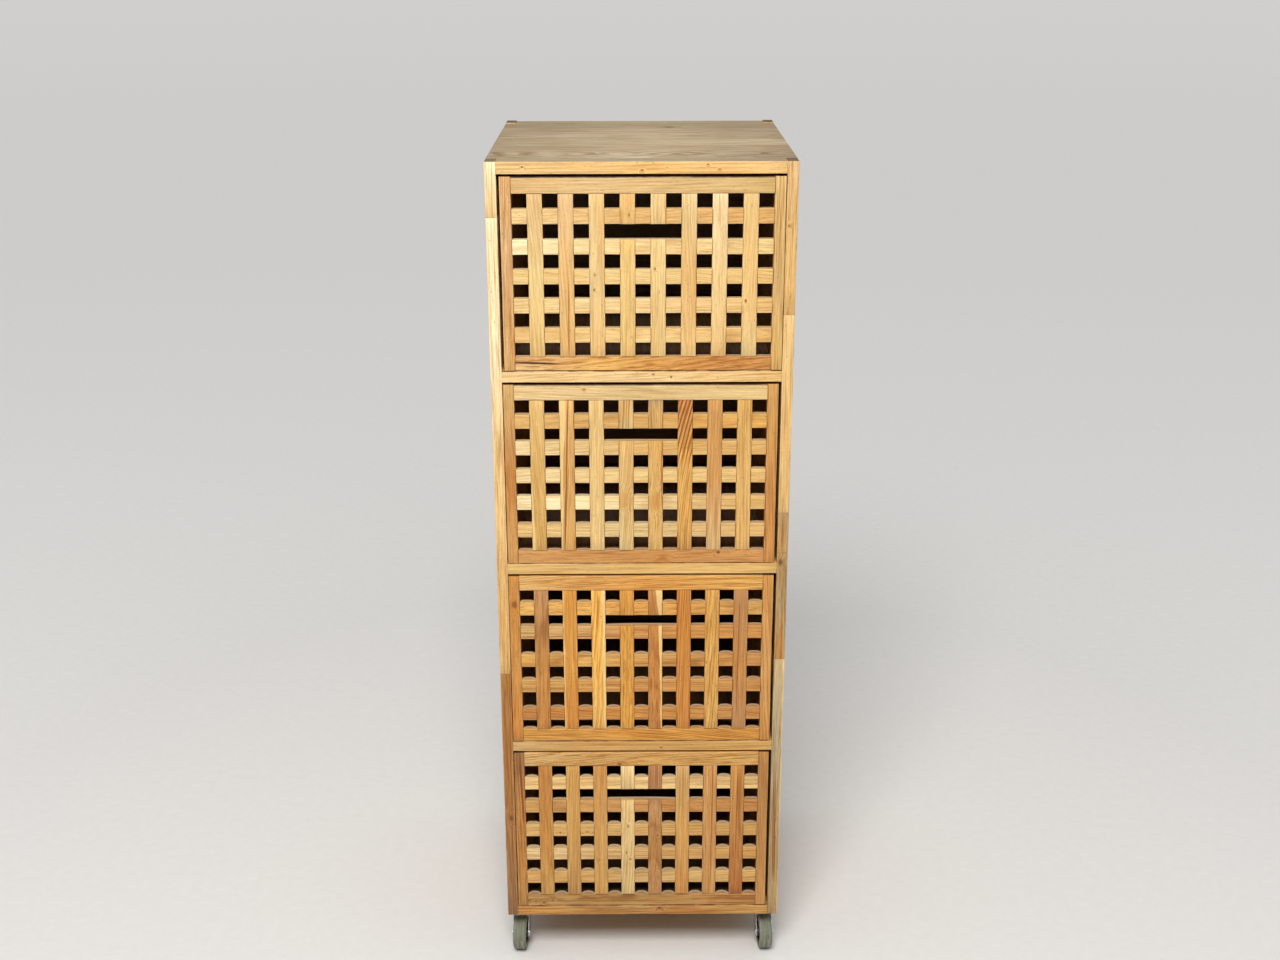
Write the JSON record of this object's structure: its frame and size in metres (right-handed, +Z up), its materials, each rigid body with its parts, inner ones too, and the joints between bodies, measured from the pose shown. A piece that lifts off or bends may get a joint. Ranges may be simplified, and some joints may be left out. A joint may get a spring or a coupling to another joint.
{
  "type": "drawer chest on castors",
  "caption": "Tall narrow wooden chest of drawers on swivel castors; each drawer slides on the board beneath it and has a half-lapped lattice front with a finger slot.",
  "frame": {"origin": "on the floor, under the middle of the chest", "axes": "+X to the right of someone facing the drawers, +Y from the drawer fronts to the back, +Z up"},
  "size_m": [0.404, 0.4406, 1.1922],
  "materials": {
    "teak_top": "worn, greyed oil finish",
    "teak_cabinet": "matt oiled",
    "teak_lattice": "matt oiled",
    "teak_drawer_side": "matt, bare",
    "plywood": "matt, bare",
    "zinc_steel": "zinc plated, dull",
    "bright_steel": "plated",
    "hub_plastic": "matt",
    "grey_rubber": "worn, matt"
  },
  "bodies": {
    "cabinet": {"top_board": "teak_top", "bottom_board": "teak_cabinet", "shelf_1": "teak_cabinet", "shelf_2": "teak_cabinet", "shelf_3": "teak_cabinet", "back_panel": "plywood", "side_panel_left": "teak_cabinet", "side_panel_right": "teak_cabinet", "post_front_left": "teak_cabinet", "post_front_right": "teak_cabinet", "post_rear_left": "teak_cabinet", "post_rear_right": "teak_cabinet", "castor_plates": "zinc_steel", "castor_screws": "bright_steel", "castor_kingpins": "bright_steel", "swivel_balls": "bright_steel"},
    "drawer_1": {"drawer_1_side_left": "teak_drawer_side", "drawer_1_side_right": "teak_drawer_side", "drawer_1_back": "teak_drawer_side", "drawer_1_bottom": "plywood", "drawer_1_rails": "teak_lattice", "drawer_1_uprights": "teak_lattice", "drawer_1_cross_slats": "teak_lattice"},
    "drawer_2": {"drawer_2_side_left": "teak_drawer_side", "drawer_2_side_right": "teak_drawer_side", "drawer_2_back": "teak_drawer_side", "drawer_2_bottom": "plywood", "drawer_2_rails": "teak_lattice", "drawer_2_uprights": "teak_lattice", "drawer_2_cross_slats": "teak_lattice"},
    "drawer_3": {"drawer_3_side_left": "teak_drawer_side", "drawer_3_side_right": "teak_drawer_side", "drawer_3_back": "teak_drawer_side", "drawer_3_bottom": "plywood", "drawer_3_rails": "teak_lattice", "drawer_3_uprights": "teak_lattice", "drawer_3_cross_slats": "teak_lattice"},
    "drawer_4": {"drawer_4_side_left": "teak_drawer_side", "drawer_4_side_right": "teak_drawer_side", "drawer_4_back": "teak_drawer_side", "drawer_4_bottom": "plywood", "drawer_4_rails": "teak_lattice", "drawer_4_uprights": "teak_lattice", "drawer_4_cross_slats": "teak_lattice"},
    "castor_front_left": {"fork_front_left": "zinc_steel", "axle_front_left": "bright_steel"},
    "wheel_front_left": {"hub_front_left": "hub_plastic", "tyre_front_left": "grey_rubber"},
    "castor_front_right": {"fork_front_right": "zinc_steel", "axle_front_right": "bright_steel"},
    "wheel_front_right": {"hub_front_right": "hub_plastic", "tyre_front_right": "grey_rubber"},
    "castor_rear_left": {"fork_rear_left": "zinc_steel", "axle_rear_left": "bright_steel"},
    "wheel_rear_left": {"hub_rear_left": "hub_plastic", "tyre_rear_left": "grey_rubber"},
    "castor_rear_right": {"fork_rear_right": "zinc_steel", "axle_rear_right": "bright_steel"},
    "wheel_rear_right": {"hub_rear_right": "hub_plastic", "tyre_rear_right": "grey_rubber"}
  },
  "joints": [
    {"name": "drawer_1_slide", "type": "slide", "parent": "cabinet", "child": "drawer_1", "axis": [0, -1, 0], "range_m": [0, 0.36]},
    {"name": "drawer_2_slide", "type": "slide", "parent": "cabinet", "child": "drawer_2", "axis": [0, -1, 0], "range_m": [0, 0.36]},
    {"name": "drawer_3_slide", "type": "slide", "parent": "cabinet", "child": "drawer_3", "axis": [0, -1, 0], "range_m": [0, 0.36]},
    {"name": "drawer_4_slide", "type": "slide", "parent": "cabinet", "child": "drawer_4", "axis": [0, -1, 0], "range_m": [0, 0.36]},
    {"name": "castor_front_left_swivel", "type": "hinge", "parent": "cabinet", "child": "castor_front_left", "pos_m": [-0.18298, -0.16898, 0.0644], "axis": [0, 0, 1], "continuous": true},
    {"name": "wheel_front_left_spin", "type": "hinge", "parent": "castor_front_left", "child": "wheel_front_left", "pos_m": [-0.18479, -0.19492, 0.025], "axis": [0.9976, -0.0698, 0], "continuous": true},
    {"name": "castor_front_right_swivel", "type": "hinge", "parent": "cabinet", "child": "castor_front_right", "pos_m": [0.18298, -0.16898, 0.0644], "axis": [0, 0, 1], "continuous": true},
    {"name": "wheel_front_right_spin", "type": "hinge", "parent": "castor_front_right", "child": "wheel_front_right", "pos_m": [0.18479, -0.19492, 0.025], "axis": [0.9976, 0.0698, 0], "continuous": true},
    {"name": "castor_rear_left_swivel", "type": "hinge", "parent": "cabinet", "child": "castor_rear_left", "pos_m": [-0.18298, 0.16898, 0.0644], "axis": [0, 0, 1], "continuous": true},
    {"name": "wheel_rear_left_spin", "type": "hinge", "parent": "castor_rear_left", "child": "wheel_rear_left", "pos_m": [-0.18479, 0.19492, 0.025], "axis": [-0.9976, -0.0698, 0], "continuous": true},
    {"name": "castor_rear_right_swivel", "type": "hinge", "parent": "cabinet", "child": "castor_rear_right", "pos_m": [0.18298, 0.16898, 0.0644], "axis": [0, 0, 1], "continuous": true},
    {"name": "wheel_rear_right_spin", "type": "hinge", "parent": "castor_rear_right", "child": "wheel_rear_right", "pos_m": [0.18479, 0.19492, 0.025], "axis": [-0.9976, 0.0698, 0], "continuous": true}
  ]
}
